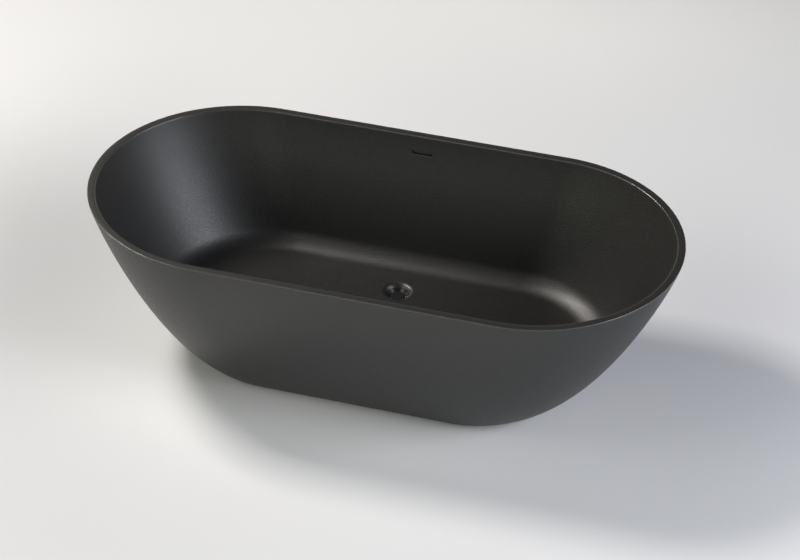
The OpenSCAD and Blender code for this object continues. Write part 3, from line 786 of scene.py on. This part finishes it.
def moulded(name, colour, roughness, grain=1.2 * MM, depth=0.05 * MM):
    """Moulded plastic or rubber with a fine spark-eroded texture."""
    f = Finish(name, colour, roughness)
    fine = f.noise(grain, detail=2.0)
    cloud = f.noise(0.05, detail=2.0)
    f.set(Base_Color=f.shade(tint(colour, 0.85), cloud, tint(colour, 1.15)))
    f.set(Roughness=roughness + (fine - 0.5) * 0.16)
    return f.bump(fine, depth).material


def chipboard(name):
    """Particle board: pressed flakes with darker gaps."""
    f = Finish(name, (0.52, 0.38, 0.23), 0.72)
    flakes = f.node("ShaderNodeTexVoronoi", {
        "Vector": f.node("ShaderNodeMapping", {"Vector": f.place, "Scale": (1.0, 2.4, 3.0)}),
        "Scale": 180.0,
    }, output="Color")
    tone = f.node("ShaderNodeSeparateColor", {"Color": flakes})
    fine = f.noise(2 * MM, detail=4.0, roughness=0.7)
    light = (tone * 0.7 + fine * 0.35).clamp()
    f.set(Base_Color=f.shade((0.36, 0.24, 0.13), light, (0.68, 0.53, 0.35)))
    f.set(Roughness=0.62 + tone * 0.2)
    return f.bump(tone * 0.5 + fine * 0.5, 0.25 * MM).material


def waste_black(name):
    """Satin black coat on the flange and plug."""
    colour = tuple(bpy.context.scene.tub_finish.waste)
    f = Finish(name, colour, 0.27)
    fine = f.noise(1 * MM, detail=2.0)
    f.set(Base_Color=f.shade(tint(colour, 0.9), fine, tint(colour, 1.15)))
    f.set(Roughness=0.26 + (fine - 0.5) * 0.10)
    return f.bump(fine, 0.02 * MM).material


SLOT_FINISHES = {
    "adhesive": lambda: moulded("cured_adhesive", (0.10, 0.10, 0.10), 0.5, 6 * MM, 0.2 * MM),
    "baseboard_wood": lambda: chipboard("particle_board"),
    "zinc_steel": lambda: metal("zinc_plated_sheet", (0.62, 0.64, 0.66), 0.38, grain=12 * MM),
    "steel_fasteners": lambda: metal("bright_zinc", (0.72, 0.71, 0.68), 0.30),
    "stud_steel": lambda: metal("rolled_stud_steel", (0.68, 0.68, 0.67), 0.32),
    "pad_plastic": lambda: moulded("foot_pad_plastic", (0.030, 0.030, 0.032), 0.55),
    "waste_black": lambda: waste_black("matte_black_coat"),
    "seal_rubber": lambda: moulded("seal_rubber", (0.018, 0.018, 0.019), 0.62, 0.8 * MM),
    "nut_brass": lambda: metal("turned_brass", (0.78, 0.58, 0.28), 0.30),
    "pipe_plastic": lambda: moulded("pipe_plastic", (0.055, 0.056, 0.060), 0.42),
    "cartridge_plastic": lambda: moulded("cartridge_plastic", (0.70, 0.69, 0.64), 0.45),
    "spring_steel": lambda: metal("spring_wire", (0.66, 0.66, 0.68), 0.26),
    "hose_rubber": lambda: moulded("hose_rubber", (0.075, 0.075, 0.080), 0.50),
    "clip_steel": lambda: metal("stainless_band", (0.70, 0.70, 0.71), 0.25),
}


class BATHTUB_OT_frame_finishes(Operator):
    """Gives every piece of the frame that still shows its own finish"""
    bl_idname = "bathtub.frame_finishes"
    bl_label = "Frame Finishes"

    def execute(self, context):
        slots = {row["node"]: row["material_slot"] for row in frame["record"]["subparts"]}
        made = {}
        for name, piece in frame["nodes"].items():
            slot = slots[name]
            if slot not in SLOT_FINISHES:
                continue
            if slot not in made:
                made[slot] = SLOT_FINISHES[slot]()
            piece.data.materials.clear()
            piece.data.materials.append(made[slot])
        return {"FINISHED"}


# --- Studio ------------------------------------------------------------------------------

def look_at(obj, target, roll=0.0):
    """Points an object's -Z at a target, turned by a roll about that line."""
    ahead = (Vector(target) - obj.location).normalized()
    right = ahead.cross(Vector((0, 0, 1))).normalized()
    up = right.cross(ahead)
    turned = right * math.cos(roll) + up * math.sin(roll)
    raised = up * math.cos(roll) - right * math.sin(roll)
    basis = Matrix((turned, raised, -ahead)).transposed()
    obj.rotation_mode = "QUATERNION"
    obj.rotation_quaternion = basis.to_quaternion()


def from_angles(azimuth, elevation, distance, target=(0.0, 0.0, 0.25)):
    """A point at a distance from a target; azimuth 0 is in front and 90 to the right."""
    flat = math.cos(elevation)
    back = Vector((math.sin(azimuth) * flat, -math.cos(azimuth) * flat, math.sin(elevation)))
    return Vector(target) + back * distance


def soft_box(name, azimuth, elevation, distance, size, power, colour):
    """A rectangular lamp that faces the tub, its angles in degrees."""
    lamp = bpy.data.lights.new(name, "AREA")
    lamp.shape = "RECTANGLE"
    lamp.size, lamp.size_y = size
    lamp.energy = power
    lamp.color = colour
    obj = bpy.data.objects.new(name, lamp)
    bpy.context.scene.collection.objects.link(obj)
    obj.location = from_angles(math.radians(azimuth), math.radians(elevation), distance)
    look_at(obj, (0.0, 0.0, 0.25))


class BATHTUB_OT_studio(Operator):
    """Makes the camera, the pale floor and the soft lights"""
    bl_idname = "bathtub.studio"
    bl_label = "Studio"

    FLOOR_HALF = 30.0
    LIGHT_DISTANCE = 5.0
    # Name, azimuth, elevation, size, power and colour
    SOFT_BOXES = (
        ("warm_key", -104, 48, (1.2, 1.2), 205.0, (1.0, 0.95, 0.89)),
        ("blue_side_low", 77, 16, (2.4, 1.2), 72.0, (0.82, 0.87, 1.0)),
        ("blue_side_high", 84, 30, (2.4, 1.2), 110.0, (0.93, 0.94, 1.0)),
        ("front_left", -50, 38, (2.0, 2.0), 30.0, (1.0, 1.0, 0.90)),
        ("front_low", -16, 17, (3.0, 1.2), 41.0, (1.0, 1.0, 0.88)),
    )
    # Place, reach and change in brightness of each soft patch painted on the floor: painted shadow where
    # the change is negative, painted light where it is positive
    PAINTED_LIGHT_AND_SHADE_PATCHES = (
        # painted shadow of the tub to its left
        ((-1.15, 0.20), (0.50, 0.85), -0.30),
        # painted shade towards the front left
        ((-0.75, -0.95), (0.60, 0.50), -0.10),
        # painted light far behind the tub
        ((0.10, 2.20), (1.20, 0.70), 0.22),
        # painted shadow of the tub to its right
        ((0.92, 0.35), (0.45, 0.60), -0.18),
        # painted light that lifts the shadow in front of the tub
        ((-0.05, -0.42), (0.60, 0.16), 0.22),
    )

    def execute(self, context):
        scene = context.scene
        self.set_camera(scene, scene.tub_studio)
        self.lay_floor(scene)
        for name, azimuth, elevation, size, power, colour in self.SOFT_BOXES:
            soft_box(name, azimuth, elevation, self.LIGHT_DISTANCE, size, power, colour)
        world = bpy.data.worlds.new("studio_air")
        scene.world = world
        world.use_nodes = True
        self.horizon(world.node_tree, scene.tub_studio.horizon)
        scene.view_settings.view_transform = "Standard"
        return {"FINISHED"}

    @staticmethod
    def set_camera(scene, studio):
        lens = bpy.data.cameras.new("camera")
        lens.lens = studio.lens
        lens.sensor_width = 36.0
        lens.clip_end = 100.0
        camera = bpy.data.objects.new("camera", lens)
        scene.collection.objects.link(camera)
        camera.location = from_angles(studio.azimuth, studio.elevation, studio.distance, studio.target)
        look_at(camera, studio.target, studio.roll)
        scene.camera = camera

    def lay_floor(self, scene):
        half = self.FLOOR_HALF
        mesh = bpy.data.meshes.new("studio_floor")
        mesh.from_pydata([(-half, -half, 0), (half, -half, 0), (half, half, 0), (-half, half, 0)],
                         [], [(0, 1, 2, 3)])
        mesh.materials.append(self.floor_finish(tuple(scene.tub_finish.floor)))
        floor = bpy.data.objects.new("studio_floor", mesh)
        scene.collection.objects.link(floor)

    def floor_finish(self, colour):
        """Pale paper floor with a faint random tone, under soft patches of painted shadow and painted
        light.
        """
        f = Finish("pale_floor", colour, 0.65)
        x = f.node("ShaderNodeSeparateXYZ", {"Vector": f.place}, output="X")
        y = f.node("ShaderNodeSeparateXYZ", {"Vector": f.place}, output="Y")
        tone = (f.noise(1.2) - 0.5) * 0.08 + 1.0
        for (at_x, at_y), (wide, deep), change in self.PAINTED_LIGHT_AND_SHADE_PATCHES:
            far = ((x - at_x) / wide) ** 2 + ((y - at_y) / deep) ** 2
            # Each patch adds its change: painted light where positive, painted shade where negative
            tone = tone + (far * -1.0).math("EXPONENT") * change
        # The mask's ends: 0.6 of the colour, turned a little blue for the painted shadows, and 1.2 of it
        # for the painted light
        low = tuple(part * share for part, share in zip(colour, (0.595, 0.60, 0.625)))
        f.set(Base_Color=f.shade(low, ((tone - 0.6) / 0.6).clamp(), tint(colour, 1.2, 0.98)))
        return f.material

    @staticmethod
    def horizon(node_tree, strength):
        """A pale band of light round the horizon that fades to a dark ceiling."""
        tree = Tree(node_tree)
        ahead = tree.node("ShaderNodeTexCoord", output="Generated")
        height = tree.node("ShaderNodeSeparateXYZ", {"Vector": ahead}, output="Z")
        fade = tree.node("ShaderNodeMapRange", {
            "Value": height, "From Min": 0.10, "From Max": 0.50, "To Min": strength, "To Max": 0.0,
        }, interpolation_type="SMOOTHSTEP")
        air = node_tree.nodes["Background"]
        air.inputs["Color"].default_value = (1.0, 0.975, 0.86, 1.0)
        feed(node_tree, air.inputs["Strength"], fade)


# --- Add-on ------------------------------------------------------------------------------

class BATHTUB_PT_panel(Panel):
    """Sizes, finishes and steps of the bathtub"""
    bl_idname = "BATHTUB_PT_panel"
    bl_label = "Bathtub"
    bl_space_type = "VIEW_3D"
    bl_region_type = "UI"
    bl_category = "Bathtub"

    def draw(self, context):
        for group in (context.scene.tub_shape, context.scene.tub_finish, context.scene.tub_studio):
            box = self.layout.box()
            for name in group.__annotations__:
                box.prop(group, name)
        for step in STEPS:
            self.layout.operator(step.bl_idname)


GROUPS = {"tub_shape": TubShape, "tub_finish": TubFinish, "tub_studio": Studio}
STEPS = (
    BATHTUB_OT_studio,
    BATHTUB_OT_frame_finishes,
    BATHTUB_OT_basin,
    BATHTUB_OT_outer_shell,
)
CLASSES = (*GROUPS.values(), *STEPS, BATHTUB_PT_panel)


def register():
    for cls in CLASSES:
        bpy.utils.register_class(cls)
    for name, group in GROUPS.items():
        setattr(bpy.types.Scene, name, PointerProperty(type=group))


def unregister():
    for name in GROUPS:
        delattr(bpy.types.Scene, name)
    for cls in reversed(CLASSES):
        bpy.utils.unregister_class(cls)


def main():
    register()
    for step in STEPS:
        area, verb = step.bl_idname.split(".")
        getattr(getattr(bpy.ops, area), verb)()


if __name__ == "__main__":
    main()
